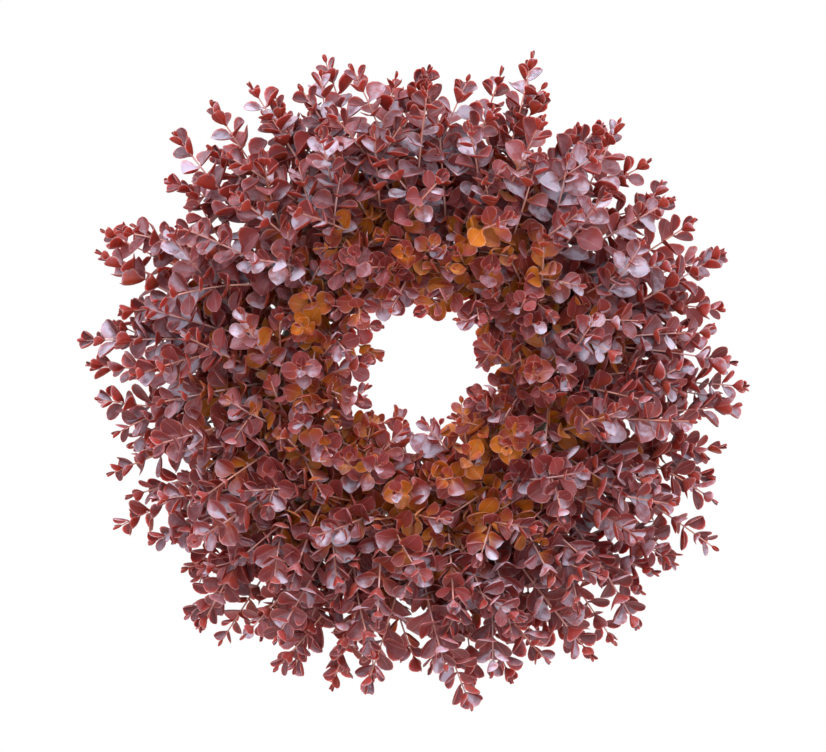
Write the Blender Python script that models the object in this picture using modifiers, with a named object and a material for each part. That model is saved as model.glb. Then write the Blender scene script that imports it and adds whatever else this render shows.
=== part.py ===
"""Door wreath of leafy moulded sprays on a half-round ring.

Metres, +Z up. The wreath hangs upright in the XZ plane: its front faces -Y and its back lies in the
plane Y = 0. The origin is the point where the wire hanger bears on its hook. Each spray plugs into a
socket in the ring and stands here as one plain closed solid: a bare stem that swells to the outer
shape of its foliage.
"""

import math
from collections import namedtuple

import bmesh
import bpy
from mathutils import Matrix, Vector
from mathutils.geometry import intersect_point_line

# Base ring: a half-round channel on straight legs, open at the back.
RING_RADIUS = 0.107
RING_HALF_WIDTH = 0.014
RING_LEG = 0.004
RING_WALL = 0.0028
RIM_WALL = 0.0018
COVER_THICKNESS = 0.002
RING_STEPS = 60
SECTION_STEPS = 6

# Clearances.
FIT_GAP = 0.0003
SPRAY_GAP = 0.001

# Wire hanger and the two lugs it turns in.
WIRE_RADIUS = 0.0011
HANGER_RISE = 0.034
HANGER_BEND = 0.003
HANGER_HALF_WIDTH = 0.0095
HINGE_LIFT = 0.0045
HINGE_DEPTH = 0.0035
LUG_THICKNESS = 0.003
LUG_REACH = 0.003
PIN_OVERHANG = 0.0015

# Sprays. A row's tilt is where its sockets sit round the section, from straight outward (0 degrees)
# over the front (90) to straight inward (180). Its bend turns the spray on from there to its tip.
STEM_RADIUS = 0.0014
STEM_INSET = 0.0015
STEM_BARE = 0.006
TIP_RADIUS = 0.002
HOLE_RADIUS = 0.046
LEAF_STEPS = 6
LEAN_TURN = 2.4
Row = namedtuple("Row", "name count first_angle tilt bend lean length girth")
ROWS = (
    Row("outer_spray", 14, 90 + 180 / 14, 20, -16, 8, 0.165, 0.031),
    Row("middle_spray", 14, 90, 44, -16, 10, 0.168, 0.029),
    Row("front_spray", 14, 90 + 180 / 14, 74, -14, 10, 0.122, 0.027),
    Row("inner_spray", 12, 90, 114, 14, 12, 0.078, 0.022),
)

# Levels that follow from the sizes above.
RING_OUTER = RING_RADIUS + RING_HALF_WIDTH
RING_FRONT = RING_LEG + RING_HALF_WIDTH
HINGE_Z = -HANGER_RISE
CENTRE = Vector((0, 0, HINGE_Z - HINGE_LIFT - RING_OUTER))
LUG_X = HANGER_HALF_WIDTH + HANGER_BEND + FIT_GAP + LUG_THICKNESS / 2
BORE_RADIUS = WIRE_RADIUS + FIT_GAP


def clear_scene():
    for obj in list(bpy.data.objects):
        bpy.data.objects.remove(obj, do_unlink=True)


def new_collection(name):
    collection = bpy.data.collections.new(name)
    bpy.context.scene.collection.children.link(collection)
    return collection


def material(name, colour, roughness, metallic=0.0):
    made = bpy.data.materials.new(name)
    made.use_nodes = True
    made.diffuse_color = (*colour, 1)
    shader = made.node_tree.nodes["Principled BSDF"]
    shader.inputs["Base Color"].default_value = (*colour, 1)
    shader.inputs["Roughness"].default_value = roughness
    shader.inputs["Metallic"].default_value = metallic
    return made


def add_object(name, data, collection, parent=None):
    obj = bpy.data.objects.new(name, data)
    collection.objects.link(obj)
    obj.parent = parent
    return obj


def turned(name, profile, look, collection, parent):
    """A ring turned about the wreath's axis from (radius, distance in front of the back plane) points."""
    mesh = bpy.data.meshes.new(name)
    count = len(profile)
    edges = [(i, (i + 1) % count) for i in range(count)]
    mesh.from_pydata([(r, 0, ahead) for r, ahead in profile], edges, [])
    mesh.materials.append(look)
    obj = add_object(name, mesh, collection, parent)
    obj.rotation_euler.x = math.radians(90)
    screw = obj.modifiers.new("Turn", "SCREW")
    screw.axis = "Z"
    screw.angle = math.radians(360)
    screw.steps = screw.render_steps = RING_STEPS
    screw.use_merge_vertices = True
    screw.merge_threshold = 0.00001
    screw.use_smooth_shade = False
    return obj


def half_round(half_width):
    """Half circle over the ring's section, from its inner side to its outer side."""
    turns = [math.pi * (1 - i / SECTION_STEPS) for i in range(SECTION_STEPS + 1)]
    return [
        (RING_RADIUS + half_width * math.cos(turn), RING_LEG + half_width * math.sin(turn))
        for turn in turns
    ]


def ring_profile():
    """The channel's outline: over the outside, then back through the cover's seat and the cavity."""
    seat = COVER_THICKNESS + FIT_GAP
    rim = RING_HALF_WIDTH - RIM_WALL
    cavity = RING_HALF_WIDTH - RING_WALL
    outside = [(RING_RADIUS - RING_HALF_WIDTH, 0), *half_round(RING_HALF_WIDTH), (RING_OUTER, 0)]
    outer_seat = [
        (RING_RADIUS + rim, 0),
        (RING_RADIUS + rim, seat),
        (RING_RADIUS + cavity, seat),
    ]
    inner_seat = [
        (RING_RADIUS - cavity, seat),
        (RING_RADIUS - rim, seat),
        (RING_RADIUS - rim, 0),
    ]
    return outside + outer_seat + half_round(cavity)[::-1] + inner_seat


def cover_profile():
    inner = RING_RADIUS - RING_HALF_WIDTH + RIM_WALL + FIT_GAP
    outer = RING_OUTER - RIM_WALL - FIT_GAP
    return [(inner, 0), (inner, COVER_THICKNESS), (outer, COVER_THICKNESS), (outer, 0)]


def spray_frame(row, index):
    """The spray's own frame: +X straight out from the wreath's axis, -Y forward, +Z round the ring."""
    angle = math.radians(row.first_angle + 360 * index / row.count)
    return Matrix.Translation(CENTRE) @ Matrix.Rotation(-angle, 4, "Y")


def socket_direction(row):
    tilt = math.radians(row.tilt)
    return Vector((math.cos(tilt), -math.sin(tilt), 0))


def socket_mouth(row):
    """Where the socket's axis leaves the outside of the ring, in the spray's own frame."""
    return Vector((RING_RADIUS, -RING_LEG, 0)) + socket_direction(row) * RING_HALF_WIDTH


def spray_line(row, index):
    """The spray's centreline in its own frame: a straight stem, then foliage that bends and leans."""
    out = socket_direction(row)
    mouth = socket_mouth(row)
    points = [mouth - out * (RING_WALL + STEM_INSET), mouth + out * STEM_BARE]
    bend = -math.radians(row.bend) / LEAF_STEPS
    lean = math.radians(row.lean) * math.sin(LEAN_TURN * index) / LEAF_STEPS
    turn = Matrix.Rotation(bend, 3, "Z") @ Matrix.Rotation(lean, 3, "Y")
    step = out * ((row.length - STEM_BARE) / LEAF_STEPS)
    for _ in range(LEAF_STEPS):
        step = turn @ step
        points.append(points[-1] + step)
    return points


def distance_to_line(point, line):
    """Shortest distance from a point to a line of straight stretches."""
    nearest = math.inf
    for start, end in zip(line, line[1:]):
        foot, share = intersect_point_line(point, start, end)
        if share < 0:
            foot = start
        elif share > 1:
            foot = end
        nearest = min(nearest, (point - foot).length)
    return nearest


def free_radius(point, others, hanger):
    """How far the foliage may swell at a point: halfway to the next spray, and clear of all the rest."""
    from_axis = math.hypot(point.x - CENTRE.x, point.z - CENTRE.z)
    to_section = math.hypot(from_axis - RING_RADIUS, -point.y - RING_LEG) - RING_HALF_WIDTH
    to_hanger = distance_to_line(point, hanger) - WIRE_RADIUS
    halfway = min(distance_to_line(point, other) for other in others) / 2
    return min(halfway, -point.y, from_axis - HOLE_RADIUS, to_section, to_hanger) - SPRAY_GAP


def foliage_radius(row, share):
    """The plume's own outline: full soon after the stem, and drawn in towards the tip."""
    swell = max(0.0, math.sin(math.pi * share**0.8)) ** 0.5
    return TIP_RADIUS + (row.girth - TIP_RADIUS) * swell


def spray_radii(row, line, others, hanger):
    radii = [STEM_RADIUS, STEM_RADIUS]
    for step in range(1, LEAF_STEPS + 1):
        room = free_radius(line[step + 1], others, hanger)
        radii.append(max(STEM_RADIUS, min(foliage_radius(row, step / LEAF_STEPS), room)))
    return radii


def wire(name, points, radii, look, collection, parent):
    """A round rod along the points, its radius given at each of them, closed at both ends."""
    curve = bpy.data.curves.new(name, "CURVE")
    curve.dimensions = "3D"
    curve.bevel_depth = WIRE_RADIUS
    curve.bevel_resolution = 2
    curve.use_fill_caps = True
    curve.materials.append(look)
    spline = curve.splines.new("POLY")
    spline.points.add(len(points) - 1)
    for target, point, radius in zip(spline.points, points, radii):
        target.co = (*point, 1)
        target.radius = radius / WIRE_RADIUS
    return add_object(name, curve, collection, parent)


def quarter(centre, radius, start, steps):
    """Points of a quarter circle in the XZ plane, from the start angle on, in degrees."""
    turns = [math.radians(start + 90 * i / steps) for i in range(steps + 1)]
    return [centre + Vector((math.cos(t), 0, math.sin(t))) * radius for t in turns]


def hanger_points():
    """The wire's right half from its pin to the top, mirrored to the left, about the hinge axis."""
    pin_end = Vector((LUG_X + LUG_THICKNESS / 2 + PIN_OVERHANG, 0, 0))
    knee = Vector((HANGER_HALF_WIDTH + HANGER_BEND, 0, HANGER_BEND))
    crown = Vector((0, 0, HANGER_RISE + WIRE_RADIUS - HANGER_HALF_WIDTH))
    right = [pin_end, *quarter(knee, HANGER_BEND, 180, 3)[::-1]]
    right += quarter(crown, HANGER_HALF_WIDTH, 0, 5)
    left = [Vector((-p.x, p.y, p.z)) for p in right[-2::-1]]
    return right + left


def lug_box(bm, x):
    """One lug, its foot sunk into the ring's rim."""
    foot = math.sqrt(RING_OUTER**2 - x**2) - RIM_WALL / 2
    top = RING_OUTER + HINGE_LIFT + LUG_REACH
    depth = 2 * (HINGE_DEPTH - FIT_GAP)
    size = Matrix.Diagonal((LUG_THICKNESS, depth, top - foot, 1))
    place = CENTRE + Vector((x, -HINGE_DEPTH, (foot + top) / 2))
    bmesh.ops.create_cube(bm, size=1, matrix=Matrix.Translation(place) @ size)


def drill(bm, place, direction, radius, length, sides):
    """A cylinder to cut with, centred on the place and lying along the direction."""
    turn = direction.to_track_quat("Z", "Y").to_matrix().to_4x4()
    bmesh.ops.create_cone(
        bm,
        cap_ends=True,
        segments=sides,
        radius1=radius,
        radius2=radius,
        depth=length,
        matrix=Matrix.Translation(place) @ turn,
    )


def helper(name, bm, collection):
    """A solid that a Boolean reads and nobody sees."""
    mesh = bpy.data.meshes.new(name)
    bm.to_mesh(mesh)
    bm.free()
    obj = add_object(name, mesh, collection)
    obj.hide_render = True
    obj.display_type = "WIRE"
    return obj


def lug_helper(collection):
    bm = bmesh.new()
    for x in (-LUG_X, LUG_X):
        lug_box(bm, x)
    return helper("lug_blocks", bm, collection)


def drill_helper(collection):
    """The lugs' bores and a socket for each spray's stem."""
    bm = bmesh.new()
    hinge = Vector((0, -HINGE_DEPTH, HINGE_Z))
    for x in (-LUG_X, LUG_X):
        drill(bm, hinge + Vector((x, 0, 0)), Vector((1, 0, 0)), BORE_RADIUS, 2 * LUG_THICKNESS, 12)
    for row in ROWS:
        for index in range(row.count):
            frame = spray_frame(row, index)
            out = socket_direction(row)
            place = frame @ (socket_mouth(row) - out * RING_WALL / 2)
            drill(bm, place, frame.to_3x3() @ out, STEM_RADIUS + FIT_GAP, 3 * RING_WALL, 8)
    return helper("drills", bm, collection)


def add_boolean(obj, operation, other):
    modifier = obj.modifiers.new(operation.title(), "BOOLEAN")
    modifier.operation = operation
    modifier.solver = "EXACT"
    modifier.object = other


def build_ring(parts, cutters, parent):
    look = material("ring_green", (0.012, 0.035, 0.028), 0.35)
    ring = turned("base_ring", ring_profile(), look, parts, parent)
    add_boolean(ring, "UNION", lug_helper(cutters))
    add_boolean(ring, "DIFFERENCE", drill_helper(cutters))


def build_cover(parts, parent):
    look = material("cover_green", (0.010, 0.030, 0.024), 0.45)
    turned("back_cover", cover_profile(), look, parts, parent)


def build_hanger(parts):
    look = material("hanger_steel", (0.42, 0.42, 0.40), 0.35, 1.0)
    points = hanger_points()
    hanger = wire("wire_hanger", points, [WIRE_RADIUS] * len(points), look, parts, None)
    hanger.location = (0, -HINGE_DEPTH, HINGE_Z)


def build_sprays(parts, parent):
    looks = {
        "outer_spray": material("outer_leaf", (0.23, 0.075, 0.065), 0.5),
        "middle_spray": material("middle_leaf", (0.25, 0.085, 0.080), 0.5),
        "front_spray": material("front_leaf", (0.28, 0.105, 0.105), 0.5),
        "inner_spray": material("inner_leaf", (0.34, 0.115, 0.045), 0.5),
    }
    sprays = [(row, index) for row in ROWS for index in range(row.count)]
    frames = [spray_frame(row, index) for row, index in sprays]
    lines = [[f @ p for p in spray_line(*spray)] for f, spray in zip(frames, sprays)]
    hinge = Vector((0, -HINGE_DEPTH, HINGE_Z))
    hanger = [hinge + point for point in hanger_points()]
    for place, (row, index) in enumerate(sprays):
        others = lines[:place] + lines[place + 1 :]
        radii = spray_radii(row, lines[place], others, hanger)
        name = f"{row.name}_{index + 1:02d}"
        points = spray_line(row, index)
        spray = wire(name, points, radii, looks[row.name], parts, parent)
        spray.matrix_local = Matrix.Translation(-CENTRE) @ frames[place]


def main():
    clear_scene()
    parts = new_collection("harvest_door_wreath")
    cutters = new_collection("cutters")
    centre = add_object("wreath_centre", None, parts)
    centre.location = CENTRE
    build_ring(parts, cutters, centre)
    build_cover(parts, centre)
    build_hanger(parts)
    build_sprays(parts, centre)


main()
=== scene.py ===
import math
import random

import bmesh
import bpy
from mathutils import Matrix, Vector


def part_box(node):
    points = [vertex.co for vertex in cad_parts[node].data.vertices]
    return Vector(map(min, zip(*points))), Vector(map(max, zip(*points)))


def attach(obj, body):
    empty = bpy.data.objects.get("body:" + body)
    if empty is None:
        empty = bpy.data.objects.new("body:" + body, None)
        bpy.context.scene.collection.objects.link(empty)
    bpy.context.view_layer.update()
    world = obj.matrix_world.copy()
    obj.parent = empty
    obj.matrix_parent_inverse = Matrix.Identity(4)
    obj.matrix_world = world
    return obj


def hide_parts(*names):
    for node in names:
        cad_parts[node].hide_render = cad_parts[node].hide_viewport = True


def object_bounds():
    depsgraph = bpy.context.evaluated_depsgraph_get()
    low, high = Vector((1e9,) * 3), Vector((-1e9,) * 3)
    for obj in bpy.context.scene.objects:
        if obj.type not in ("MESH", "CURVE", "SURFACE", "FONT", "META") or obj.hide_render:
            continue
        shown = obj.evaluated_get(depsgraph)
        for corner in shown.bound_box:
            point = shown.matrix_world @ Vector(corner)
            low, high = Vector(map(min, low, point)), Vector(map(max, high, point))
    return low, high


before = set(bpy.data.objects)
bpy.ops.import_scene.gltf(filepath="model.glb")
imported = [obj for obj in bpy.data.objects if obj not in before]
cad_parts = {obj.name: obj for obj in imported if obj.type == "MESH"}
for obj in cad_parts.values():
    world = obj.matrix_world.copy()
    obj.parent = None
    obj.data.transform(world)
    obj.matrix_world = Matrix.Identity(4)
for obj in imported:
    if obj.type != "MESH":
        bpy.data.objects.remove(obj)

cad_box = [list(corner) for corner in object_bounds()]


# ---- Base ring and back cover ------------------------------------------------------------------
# The ring is a half-round channel moulded in dark green plastic, smooth and a little glossy, and
# the flat cover snaps into its back. Both keep their CAD solids, and the ring shows through a few
# gaps in the leaves.

def paint(red, green, blue):
    """A colour given on a 0 to 255 scale, as the shader wants it."""
    shares = [value / 255 for value in (red, green, blue)]
    return [v / 12.92 if v <= 0.04045 else ((v + 0.055) / 1.055) ** 2.4 for v in shares] + [1.0]


def node_adder(tree):
    """A function that adds a node to the tree, sets it up and fills or links its inputs."""
    def add(kind, inputs=(), **settings):
        node = tree.nodes.new(kind)
        for key, value in settings.items():
            setattr(node, key, value)
        for socket, value in dict(inputs).items():
            if isinstance(value, bpy.types.NodeSocket):
                tree.links.new(value, node.inputs[socket])
            else:
                node.inputs[socket].default_value = value
        return node
    return add


def ramp(add, value, low, high, start=0.0, end=1.0):
    """The value's way from low to high, eased and stretched to run from start to end."""
    wanted = {"Value": value, "From Min": low, "From Max": high, "To Min": start, "To Max": end}
    return add("ShaderNodeMapRange", wanted, interpolation_type="SMOOTHSTEP").outputs["Result"]


def mixed(add, factor, first, second):
    """One colour turning into another."""
    wanted = {"Factor": factor, "A": first, "B": second}
    node = add("ShaderNodeMix", wanted, data_type="RGBA", clamp_factor=True)
    return node.outputs["Result"]


def new_material(name):
    """A material with its shader, its node adder, and a function that feeds a shader socket."""
    made = bpy.data.materials.new(name)
    made.use_nodes = True
    shader = made.node_tree.nodes["Principled BSDF"]

    def join(socket, value):
        made.node_tree.links.new(value, shader.inputs[socket])

    return made, shader, node_adder(made.node_tree), join


def moulded_surface_group():
    """What a steel mould leaves on plastic: a fine pitted relief, and patches of duller gloss."""
    group = bpy.data.node_groups.new("moulded_surface", "ShaderNodeTree")
    group.interface.new_socket("Place", in_out="INPUT", socket_type="NodeSocketVector")
    for name in ("Pit size", "Relief", "Glossiest", "Dullest"):
        group.interface.new_socket(name, in_out="INPUT", socket_type="NodeSocketFloat")
    group.interface.new_socket("Roughness", in_out="OUTPUT", socket_type="NodeSocketFloat")
    group.interface.new_socket("Normal", in_out="OUTPUT", socket_type="NodeSocketVector")
    add = node_adder(group)
    given = add("NodeGroupInput").outputs
    pits_per_metre = add("ShaderNodeMath", {0: 1.0, 1: given["Pit size"]}, operation="DIVIDE")
    scaled = {"Vector": given["Place"], "Scale": pits_per_metre.outputs[0], "Detail": 3.0}
    pits = add("ShaderNodeTexNoise", scaled).outputs["Fac"]
    patches = add("ShaderNodeTexNoise", {"Vector": given["Place"], "Scale": 130.0, "Detail": 2.0})
    height = add("ShaderNodeMath", {0: pits, 1: given["Relief"]}, operation="ADD").outputs[0]
    bump = add("ShaderNodeBump", {"Height": height, "Strength": 0.4, "Distance": 0.0003})
    gloss = ramp(add, patches.outputs["Fac"], 0.3, 0.7, given["Glossiest"], given["Dullest"])
    add("NodeGroupOutput", {"Roughness": gloss, "Normal": bump.outputs["Normal"]})
    return group


moulded_surface = moulded_surface_group()


def mould_finish(add, join, pit_size, glossiest, dullest, relief=0.0):
    """Gives the material the moulded surface, and hands back the place that it follows."""
    place = add("ShaderNodeTexCoord").outputs["Object"]
    wanted = {"Place": place, "Pit size": pit_size, "Relief": relief,
              "Glossiest": glossiest, "Dullest": dullest}
    group = add("ShaderNodeGroup", wanted, node_tree=moulded_surface)
    join("Roughness", group.outputs["Roughness"])
    join("Normal", group.outputs["Normal"])
    return place


ring_plastic, shader, add, join = new_material("ring_green_plastic")
place = mould_finish(add, join, 0.0011, 0.28, 0.5)
clouds = add("ShaderNodeTexNoise", {"Vector": place, "Scale": 45.0, "Detail": 4.0}).outputs["Fac"]
join("Base Color", mixed(add, clouds, paint(44, 64, 56), paint(80, 102, 90)))
for node in ("base_ring", "back_cover"):
    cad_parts[node].data.materials.clear()
    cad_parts[node].data.materials.append(ring_plastic)


# ---- Wire hanger -------------------------------------------------------------------------------
# A loop of drawn steel wire with its ends turned out into the ring's two lugs. It is bright, with
# a faint tarnish in patches.

wire_steel, shader, add, join = new_material("hanger_steel_wire")
place = add("ShaderNodeTexCoord").outputs["Object"]
tarnish = add("ShaderNodeTexNoise", {"Vector": place, "Scale": 160.0, "Detail": 5.0}).outputs["Fac"]
join("Base Color", mixed(add, tarnish, paint(168, 166, 160), paint(208, 207, 203)))
join("Roughness", ramp(add, tarnish, 0.2, 0.8, 0.22, 0.42))
shader.inputs["Metallic"].default_value = 1.0
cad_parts["wire_hanger"].data.materials.clear()
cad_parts["wire_hanger"].data.materials.append(wire_steel)


# ---- Leaf blades -------------------------------------------------------------------------------
# Each leaf is a soft plastic paddle, moulded thickest along its midrib, dished a little and drawn
# in to a short stalk. A few widths of blade are made once, one unit long, and every leaf is a copy.

leaf_rows = (0.0, 0.18, 0.28, 0.43, 0.62, 0.80, 0.93, 1.0)
leaf_columns = 4
stalk_half_width = 0.03
stalk_taper = 0.4
disc_middle = 0.58
disc_back = 0.43
disc_back_fullness = 0.75
disc_tip_fullness = 0.58
midrib_thickness = 0.035
crease_angle = math.radians(70)


def blade_outline(along, widest):
    """Half the blade's width at this share of its length: a narrow stalk that opens into a disc."""
    if along < disc_middle:
        disc = max(0.0, 1 - ((disc_middle - along) / disc_back) ** 2) ** disc_back_fullness
    else:
        disc = (1 - ((along - disc_middle) / (1 - disc_middle)) ** 2) ** disc_tip_fullness
    return max(stalk_half_width * (1 - stalk_taper * along), 0.5 * widest * disc)


def blade_mesh(name, widest, dish, curl):
    """One closed blade along +Y with its upper face to +Z, its stalk end at the origin."""
    blade = bmesh.new()
    upper = blade.verts.layers.float.new("upper")
    blade.loops.layers.uv.new("UVMap")
    steps = len(leaf_rows) - 1
    bmesh.ops.create_grid(blade, x_segments=leaf_columns, y_segments=steps, size=1, calc_uvs=True)
    for vert in blade.verts:
        side = vert.co.x
        along = leaf_rows[round((vert.co.y + 1) / 2 * steps)]
        half = blade_outline(along, widest)
        lift = dish * half * side**2 * 2 + curl * (along**2 - 0.5 * along)
        vert.co = (side * half, along, lift)
        vert[upper] = 1.0
    if blade.faces[:][0].normal.z < 0:
        bmesh.ops.reverse_faces(blade, faces=blade.faces)
    below = bmesh.ops.duplicate(blade, geom=blade.verts[:] + blade.edges[:] + blade.faces[:])["geom"]
    under_faces = [part for part in below if isinstance(part, bmesh.types.BMFace)]
    bmesh.ops.reverse_faces(blade, faces=under_faces)
    for vert in (part for part in below if isinstance(part, bmesh.types.BMVert)):
        vert[upper] = 0.0
        if not vert.is_boundary:
            vert.co.z -= midrib_thickness
    bmesh.ops.remove_doubles(blade, verts=blade.verts, dist=0.0005)
    for face in blade.faces:
        face.smooth = True
    for edge in blade.edges:
        if edge.calc_face_angle(0) > crease_angle:
            edge.smooth = False
    mesh = bpy.data.meshes.new(name)
    blade.to_mesh(mesh)
    blade.free()
    return mesh


round_blade = blade_mesh("round_blade", 0.94, 0.26, -0.16)
cupped_blade = blade_mesh("cupped_blade", 0.84, 0.50, 0.30)
flat_blade = blade_mesh("flat_blade", 0.78, 0.12, 0.10)
oval_blade = blade_mesh("oval_blade", 0.62, 0.36, 0.20)
bud_blade = blade_mesh("bud_blade", 0.44, 0.5, 0.24)
grown_blades = (round_blade, cupped_blade, flat_blade, round_blade, oval_blade, oval_blade)
young_blades = (oval_blade, flat_blade, cupped_blade)


# ---- Leaf plastic ------------------------------------------------------------------------------
# The blades are moulded in amber plastic, dyed burgundy from the tip inwards, and dusted with a pale
# mauve bloom. The mauve is partly real dust and partly painted highlight: it is laid heaviest on
# faces turned up and to the front, towards the key light, and thinner on leaves further back and near
# the sprigs' feet, which is painted shade. Amber and rust still show on old leaves, near the stalks
# and underneath. The rim is painted paler as a painted edge highlight, and the midrib is a little
# paler.

def pale_bloom_group():
    """A powdery mauve that settles unevenly over a colour: real dust, and on the leaves painted
    highlight too.
    """
    group = bpy.data.node_groups.new("pale_bloom_and_highlight", "ShaderNodeTree")
    group.interface.new_socket("Place", in_out="INPUT", socket_type="NodeSocketVector")
    group.interface.new_socket("Paint", in_out="INPUT", socket_type="NodeSocketColor")
    group.interface.new_socket("Bloom", in_out="INPUT", socket_type="NodeSocketFloat")
    group.interface.new_socket("Paint", in_out="OUTPUT", socket_type="NodeSocketColor")
    add = node_adder(group)
    given = add("NodeGroupInput").outputs
    powder = add("ShaderNodeTexNoise", {"Vector": given["Place"], "Scale": 650.0, "Detail": 4.0})
    drifts = add("ShaderNodeTexNoise", {"Vector": given["Place"], "Scale": 110.0, "Detail": 2.0})
    fine = ramp(add, powder.outputs["Fac"], 0.3, 0.75, 0.7, 1.0)
    broad = ramp(add, drifts.outputs["Fac"], 0.34, 0.62, 0.25, 1.0)
    both = add("ShaderNodeMath", {0: fine, 1: broad}, operation="MULTIPLY").outputs[0]
    amount = add("ShaderNodeMath", {0: both, 1: given["Bloom"]}, operation="MULTIPLY").outputs[0]
    add("NodeGroupOutput", {"Paint": mixed(add, amount, given["Paint"], paint(188, 178, 198))})
    return group


pale_bloom_and_highlight = pale_bloom_group()


def bloomed(add, place, colour, bloom_and_shade):
    """The colour under the pale bloom, which on the leaves is partly painted highlight."""
    wanted = {"Place": place, "Paint": colour, "Bloom": bloom_and_shade}
    return add("ShaderNodeGroup", wanted, node_tree=pale_bloom_and_highlight).outputs["Paint"]


leaf_plastic, shader, add, join = new_material("burgundy_leaf_plastic")


def attribute(name):
    """A value kept in the mesh, read by the material in hand."""
    return add("ShaderNodeAttribute", attribute_name=name).outputs["Fac"]


def maths(operation, *values):
    """A sum worked out over the surface, for the material in hand."""
    return add("ShaderNodeMath", enumerate(values), operation=operation).outputs[0]


blade_uv = add("ShaderNodeUVMap", uv_map="UVMap").outputs["UV"]
leaf_map = add("ShaderNodeSeparateXYZ", {"Vector": blade_uv}).outputs
side = maths("ABSOLUTE", maths("MULTIPLY_ADD", leaf_map["X"], 2.0, -1.0))
along = leaf_map["Y"]
midrib = ramp(add, side, 0.09, 0.0)
# The pale rim is a painted edge highlight; the midrib is painted a little paler.
rim_highlight = ramp(add, maths("MAXIMUM", side, along), 0.86, 1.0)
place = mould_finish(add, join, 0.0016, 0.36, 0.56, maths("MULTIPLY", midrib, 1.2))
tone, young, upper = attribute("tone"), attribute("young"), attribute("upper")
mottle = add("ShaderNodeTexNoise", {"Vector": place, "Scale": 90.0, "Detail": 3.0}).outputs["Fac"]
amber = mixed(add, mottle, paint(158, 74, 14), paint(202, 126, 34))
rust = mixed(add, mottle, paint(130, 44, 26), paint(160, 64, 38))
burgundy = mixed(add, tone, paint(112, 42, 44), paint(146, 60, 60))
# Far out along the sprigs the burgundy turns darker: partly the young leaves' own deeper colour,
# partly painted shade on the outer tips.
burgundy = mixed(add, ramp(add, young, 0.9, 1.7, 0.0, 0.85), burgundy, paint(92, 34, 36))
dye = maths("ADD", maths("MULTIPLY", along, 0.5), maths("MULTIPLY", young, 0.95))
dye = maths("ADD", dye, maths("MULTIPLY_ADD", tone, 0.7, -0.5))
warm = mixed(add, ramp(add, dye, 0.14, 0.5), amber, rust)
top_paint = mixed(add, ramp(add, dye, 0.34, 0.76), warm, burgundy)
under_paint = mixed(add, ramp(add, dye, 0.5, 1.4), warm, paint(144, 42, 30))
# The bloom is laid on faces turned towards the key light above and in front, as a painted highlight,
# and thinner on leaves further back, as painted shade.
dust_and_key_light_from = (0.0, -0.57, 0.82)
outward = add("ShaderNodeTexCoord").outputs["Normal"]
facing_key_light = add("ShaderNodeVectorMath", {0: outward, 1: dust_and_key_light_from}, operation="DOT_PRODUCT")
depth = add("ShaderNodeSeparateXYZ", {"Vector": place}).outputs["Y"]
dust_highlight_and_shade = maths("MULTIPLY", ramp(add, facing_key_light.outputs["Value"], 0.0, 0.95), attribute("bloom_and_shade"))
dust_highlight_and_shade = maths("MULTIPLY", dust_highlight_and_shade, ramp(add, depth, -0.01, -0.08, 0.7, 1.0))
dust_highlight_and_shade = maths("MULTIPLY", dust_highlight_and_shade, ramp(add, dye, 0.3, 0.75, 0.15, 1.0))
top_paint = bloomed(add, place, top_paint, dust_highlight_and_shade)
under_paint = bloomed(add, place, under_paint, maths("MULTIPLY", dust_highlight_and_shade, 0.4))
blade_paint = mixed(add, upper, under_paint, top_paint)
rim_highlight_and_pale_midrib = maths("MAXIMUM", maths("MULTIPLY", rim_highlight, 0.5), maths("MULTIPLY", midrib, 0.2))
join("Base Color", mixed(add, rim_highlight_and_pale_midrib, blade_paint, paint(208, 160, 162)))
shader.inputs["Specular IOR Level"].default_value = 0.3
shader.inputs["Subsurface Weight"].default_value = 0.5
shader.inputs["Subsurface Radius"].default_value = (1.0, 0.2, 0.15)
shader.inputs["Subsurface Scale"].default_value = 0.0008


# ---- Stem plastic ------------------------------------------------------------------------------
# The stems are round moulded rods in the same soft plastic, a pale red-brown all along, with a
# little of the same dust as the leaves.

stem_plastic, shader, add, join = new_material("red_brown_stem_plastic")
place = mould_finish(add, join, 0.001, 0.38, 0.55)
join("Base Color", bloomed(add, place, paint(194, 128, 108), attribute("bloom_and_shade")))


# ---- Sprays ------------------------------------------------------------------------------------
# A spray is five or six sprigs moulded on one plug stem, which is glued into its socket in the
# ring. Pairs of leaves stand crosswise up each sprig, smaller towards the tip, where a last narrow
# pair closes.

ring_half_width = 0.014
ring_low, ring_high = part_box("base_ring")
cover_low, cover_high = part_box("back_cover")
centre = (cover_low + cover_high) / 2
ring_radius = ring_high.x - ring_half_width
section_ahead = -(ring_low.y + ring_half_width)
front = Vector((0, -1, 0))
draw = random.Random(7)


def section_point(point):
    """The nearest point on the line round the middle of the ring's section."""
    out = Vector((point.x - centre.x, 0, point.z - centre.z)).normalized()
    return Vector((centre.x, -section_ahead, centre.z)) + out * ring_radius


def spray_ends(node):
    """Where the CAD spray's stem starts inside the ring, and where its foliage ends."""
    points = [vert.co.copy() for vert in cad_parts[node].data.vertices]
    foot = min(points, key=lambda p: (p - section_point(p)).length)
    tip = max(points, key=lambda p: (p - foot).length)
    return foot, tip


def curved(start, heading, end, count):
    """Points of a smooth curve that leaves the start along its heading and ends at the end."""
    knee = start + heading * (end - start).length * 0.5
    shares = [i / (count - 1) for i in range(count)]
    return [start * (1 - s) ** 2 + knee * 2 * s * (1 - s) + end * s**2 for s in shares]


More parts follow.
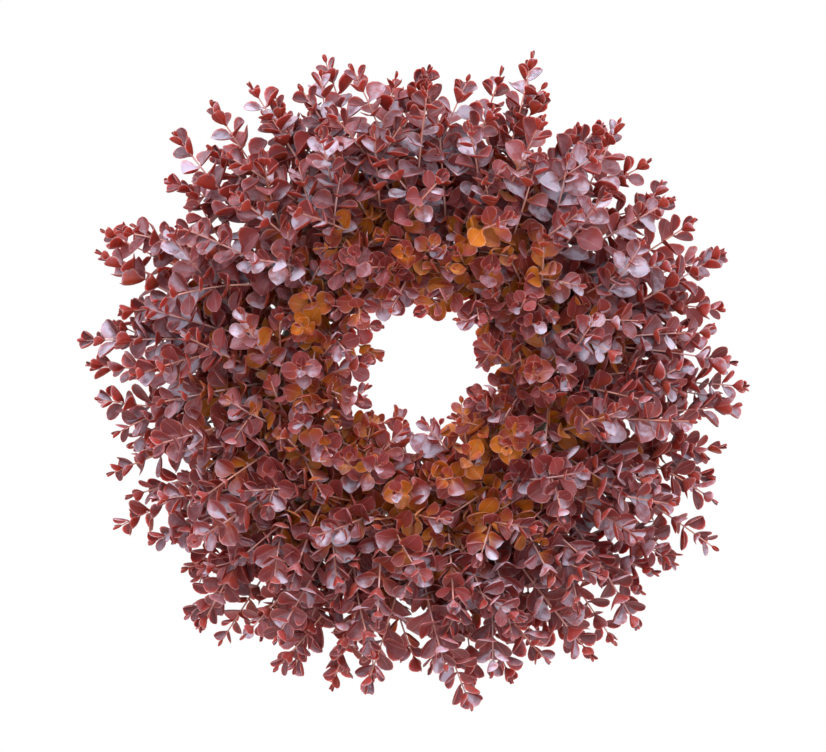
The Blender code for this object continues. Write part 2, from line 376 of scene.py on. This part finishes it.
def stem_mesh(points, foot_radius, tip_radius):
    """A round rod that thins along the points, as a mesh."""
    curve = bpy.data.curves.new("stem", "CURVE")
    curve.dimensions = "3D"
    curve.bevel_depth = 1.0
    curve.bevel_resolution = 1
    curve.use_fill_caps = True
    spline = curve.splines.new("POLY")
    spline.points.add(len(points) - 1)
    for index, (target, point) in enumerate(zip(spline.points, points)):
        share = index / (len(points) - 1)
        target.co = (*point, 1)
        target.radius = foot_radius + (tip_radius - foot_radius) * share
    holder = bpy.data.objects.new("stem", curve)
    bpy.context.scene.collection.objects.link(holder)
    bpy.context.view_layer.update()
    graph = bpy.context.evaluated_depsgraph_get()
    mesh = bpy.data.meshes.new_from_object(holder.evaluated_get(graph))
    bpy.data.objects.remove(holder)
    for polygon in mesh.polygons:
        polygon.use_smooth = True
        polygon.material_index = 1
    return mesh


def grow_part(plant, mesh, matrix, values):
    """Adds a mesh to the plant, put in place, with a value for each of the plant's layers."""
    before = len(plant.verts)
    plant.from_mesh(mesh)
    plant.verts.ensure_lookup_table()
    fresh = plant.verts[before:]
    bmesh.ops.transform(plant, matrix=matrix, verts=fresh)
    for name, value in values.items():
        layer = plant.verts.layers.float[name]
        for vert in fresh:
            vert[layer] = value


def leaf_place(point, along, face, length):
    """A matrix that lays a unit blade at the point, pointing along, its upper face turned to face."""
    side = along.cross(face).normalized()
    up = side.cross(along).normalized()
    turn = Matrix((side, along.normalized(), up)).transposed().to_4x4()
    return Matrix.Translation(point) @ turn @ Matrix.Scale(length, 4)


sprig_points = 14
sprig_foot_radius = 0.0012
sprig_tip_radius = 0.0006
bare_foot = 0.014
stem_bloom = 0.15
red_from = 0.11
young_pairs = 3
first_gap = 0.0078
gap_growth = 0.0054
bud_shrink = 0.66
pairs_to_grow = 2.5
tip_spread = 20
pairs_to_open = 1.4
pairs_to_frost = 1.5


def leaf_blade(pair):
    """A closed bud blade at the tip, then a young blade, then a grown one."""
    if pair == 0:
        return bud_blade
    return draw.choice(young_blades if pair < young_pairs else grown_blades)


def grow_sprig(plant, route, largest, frost_and_shade):
    """A stem along the route and crosswise pairs of leaves from its tip back to the bare foot."""
    sprig_bloom_and_shade = frost_and_shade * draw.uniform(0.4, 1.2)
    sprig_tone = draw.uniform(-0.2, 0.2)
    sprig_youth = draw.uniform(-0.35, 0.45)
    rod = stem_mesh(route, sprig_foot_radius, sprig_tip_radius)
    grow_part(plant, rod, Matrix.Identity(4), {"bloom_and_shade": stem_bloom * sprig_bloom_and_shade})
    lengths = [(b - a).length for a, b in zip(route, route[1:])]
    total = sum(lengths)
    turn = draw.uniform(0, math.tau)
    open_angle = draw.uniform(38, 56)
    back, pair = 0.0, 0
    while back < total - bare_foot:
        left = total - back
        index = 0
        while index < len(lengths) - 1 and left > lengths[index]:
            left -= lengths[index]
            index += 1
        start, end = route[index], route[index + 1]
        point = start.lerp(end, min(1.0, left / lengths[index]))
        stem_way = (end - start).normalized()
        across = stem_way.orthogonal().normalized()
        spin = turn + pair * math.pi / 2 + draw.uniform(-0.3, 0.3)
        grown = 1 - bud_shrink * math.exp(-pair / pairs_to_grow)
        size = largest * grown * draw.uniform(0.86, 1.08)
        opened = 1 - math.exp(-pair / pairs_to_open)
        spread = tip_spread + open_angle * opened + draw.uniform(-9, 9)
        for half in (0, math.pi):
            outward = Matrix.Rotation(spin + half, 3, stem_way) @ across
            lean = math.radians(spread + draw.uniform(-10, 10))
            leaf_way = stem_way * math.cos(lean) + outward * math.sin(lean)
            face = stem_way * math.sin(lean) - outward * math.cos(lean)
            face += front * draw.uniform(0.0, 1.15) + leaf_way.cross(face) * draw.uniform(-0.3, 0.3)
            blade = leaf_blade(pair)
            young = (total - back) / red_from + sprig_youth
            past_buds = 1 - 0.7 * math.exp(-pair / pairs_to_frost)
            # The bloom thins towards the sprig's foot, deep in the wreath, as painted shade.
            foot_shade = 1.4 - 0.8 * back / total
            bloom_and_shade = sprig_bloom_and_shade * past_buds * foot_shade * max(0.1, draw.uniform(-0.6, 1))
            tone = min(1.0, max(0.0, draw.random() + sprig_tone))
            values = {"young": young, "tone": tone, "bloom_and_shade": bloom_and_shade}
            leaf_size = size * draw.uniform(0.9, 1.08)
            grow_part(plant, blade, leaf_place(point, leaf_way, face, leaf_size), values)
        wider = gap_growth * (1 - math.exp(-pair / pairs_to_grow))
        back += (first_gap + wider) * draw.uniform(0.88, 1.12)
        pair += 1


inner_hang = 10
inner_hang_by_height = 12
door_press = 0.3


def make_spray(node, slot, sprigs, largest, frost_and_shade):
    """One spray for its CAD solid: a sprig for each (swing, tilt, reach), all from one foot."""
    foot, tip = spray_ends(node)
    middle = tip - foot
    heading = (foot - section_point(foot)).normalized()
    round_ring = (foot - centre).cross(front).normalized()
    sideways = middle.cross(round_ring).normalized()
    height = (foot.z - centre.z) / ring_radius
    hang = inner_hang - inner_hang_by_height * height if slot == "inner_foliage" else 0
    plant = bmesh.new()
    for name in ("upper", "tone", "young", "bloom_and_shade"):
        plant.verts.layers.float.new(name)
    plant.loops.layers.uv.new("UVMap")
    for swing, tilt, reach in sprigs:
        swing_turn = Matrix.Rotation(math.radians(swing + draw.uniform(-7, 7)), 3, sideways)
        tilt_turn = Matrix.Rotation(math.radians(tilt + hang + draw.uniform(-8, 8)), 3, round_ring)
        way = swing_turn @ tilt_turn
        end = foot + way @ middle * reach * draw.uniform(0.89, 1.05)
        start_way = (heading + way @ middle.normalized()).normalized()
        grow_sprig(plant, curved(foot, start_way, end, sprig_points), largest, frost_and_shade)
    # Leaves that would pass the back plane are pressed nearly flat by the door.
    for vert in plant.verts:
        if vert.co.y > cover_high.y:
            vert.co.y = cover_high.y + (vert.co.y - cover_high.y) * door_press
    mesh = bpy.data.meshes.new(node + "_leaves")
    plant.to_mesh(mesh)
    plant.free()
    mesh.materials.append(leaf_plastic)
    mesh.materials.append(stem_plastic)
    spray = bpy.data.objects.new(node + "_leaves", mesh)
    bpy.context.scene.collection.objects.link(spray)
    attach(spray, "wreath")
    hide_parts(node)


flat_fan = ((-27, 3, 0.88), (-14, 11, 0.92), (0, -4, 0.99), (13, 8, 0.95), (27, 2, 0.87))
raised_fan = ((-26, 6, 0.86), (-13, -14, 0.98), (0, 7, 0.9), (13, -10, 0.99), (26, 4, 0.88))
bush = ((-30, -6, 0.9), (-10, -28, 1.0), (11, -24, 0.96), (30, -4, 0.88),
        (-48, 14, 0.62), (48, 18, 0.62))
short_bush = ((-34, -12, 0.8), (-14, 4, 1.0), (14, 6, 0.95), (34, -8, 0.82),
              (-12, -32, 0.9), (14, -38, 0.9))
# Each row: its sprays' name, its slot, its sprigs, the largest leaf's length, and the frost on it;
# the frost is set lower on the outer and inner rows, where the room lights the leaves more, as
# painted shade.
spray_rows = (
    ("outer_spray", "outer_foliage", flat_fan, 0.0262, 2.6),
    ("middle_spray", "middle_foliage", raised_fan, 0.0265, 3.4),
    ("front_spray", "front_foliage", bush, 0.025, 3.2),
    ("inner_spray", "inner_foliage", short_bush, 0.026, 2.6),
)
# One sprig strays into the hole, and one front spray is sparse, so that the ring shows behind it.
stray_node = "inner_spray_03"
stray_sprig = (4, 24, 0.9)
sparse_node = "front_spray_03"
sparse_bush = ((-48, 14, 0.62), (48, 18, 0.62), (34, -6, 0.8))
for row, slot, sprigs, largest, frost_and_shade in spray_rows:
    for node in sorted(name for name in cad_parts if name.startswith(row)):
        here = sparse_bush if node == sparse_node else sprigs
        extra = (stray_sprig,) if node == stray_node else ()
        make_spray(node, slot, here + extra, largest, frost_and_shade)


# ---- Studio ------------------------------------------------------------------------------------
# A white room with a round pale floor that fades out under the hanging wreath, a large soft light
# above and in front, and a weaker one from the other side. Glossy plastic mirrors a dimmer room.

floor_radius = 1.3
floor_drop = 0.34
fade_from = 0.45
fade_to = 0.97 * floor_radius
pale_floor, shader, add, join = new_material("pale_floor")
place = add("ShaderNodeTexCoord").outputs["Object"]
flat_place = add("ShaderNodeVectorMath", {0: place, 1: (1.0, 1.0, 0.0)}, operation="MULTIPLY")
from_middle = add("ShaderNodeVectorMath", {0: flat_place.outputs["Vector"]}, operation="LENGTH")
fade = ramp(add, from_middle.outputs["Value"], fade_from, fade_to)
# The floor glows by its own light: dimly in the middle, which lifts the shadow under the wreath, and
# pure white at the edge, so that it fades into the white room.
join("Base Color", mixed(add, fade, paint(226, 226, 226), paint(0, 0, 0)))
join("Emission Color", mixed(add, fade, paint(96, 96, 96), paint(255, 255, 255)))
shader.inputs["Emission Strength"].default_value = 1.0
shader.inputs["Roughness"].default_value = 0.9
shader.inputs["Specular IOR Level"].default_value = 0.0

floor_mesh = bpy.data.meshes.new("floor")
floor_shape = bmesh.new()
bmesh.ops.create_circle(floor_shape, cap_ends=True, segments=96, radius=floor_radius)
bmesh.ops.translate(floor_shape, verts=floor_shape.verts, vec=(0, 0, cad_box[0][2] - floor_drop))
floor_shape.to_mesh(floor_mesh)
floor_shape.free()
floor_mesh.materials.append(pale_floor)
floor = bpy.data.objects.new("floor", floor_mesh)
bpy.context.scene.collection.objects.link(floor)

world = bpy.data.worlds.new("white_room")
world.use_nodes = True
add = node_adder(world.node_tree)
ray = add("ShaderNodeLightPath").outputs
lit = ramp(add, ray["Is Glossy Ray"], 0.0, 1.0, 1.4, 0.45)
room_light = ramp(add, ray["Is Camera Ray"], 0.0, 1.0, lit, 1.0)
world.node_tree.links.new(room_light, world.node_tree.nodes["Background"].inputs["Strength"])
world.node_tree.nodes["Background"].inputs["Color"].default_value = (1, 1, 1, 1)
bpy.context.scene.world = world
bpy.context.scene.view_settings.view_transform = "Standard"


def soft_light(name, place, size, power):
    """A square softbox that looks at the middle of the ring."""
    lamp = bpy.data.lights.new(name, "AREA")
    lamp.size = size
    lamp.energy = power
    light = bpy.data.objects.new(name, lamp)
    light.location = place
    light.rotation_euler = (centre - Vector(place)).to_track_quat("-Z", "Y").to_euler()
    bpy.context.scene.collection.objects.link(light)


soft_light("key_softbox", (-0.35, -1.15, 1.5), 0.8, 32)
soft_light("fill_softbox", (0.9, -1.6, 0.1), 1.0, 7)

view = bpy.data.cameras.new("camera")
view.lens = 90
view.sensor_width = 36
camera = bpy.data.objects.new("camera", view)
view_width = 0.70
leaves_ahead = 0.035
camera_aside = 0.002
distance = view_width * view.lens / view.sensor_width + leaves_ahead
middle_of_box = (Vector(cad_box[0]) + Vector(cad_box[1])) / 2
camera.location = (middle_of_box.x - camera_aside, -distance, middle_of_box.z)
camera.rotation_euler = (math.radians(90), 0, 0)
bpy.context.scene.collection.objects.link(camera)
bpy.context.scene.camera = camera
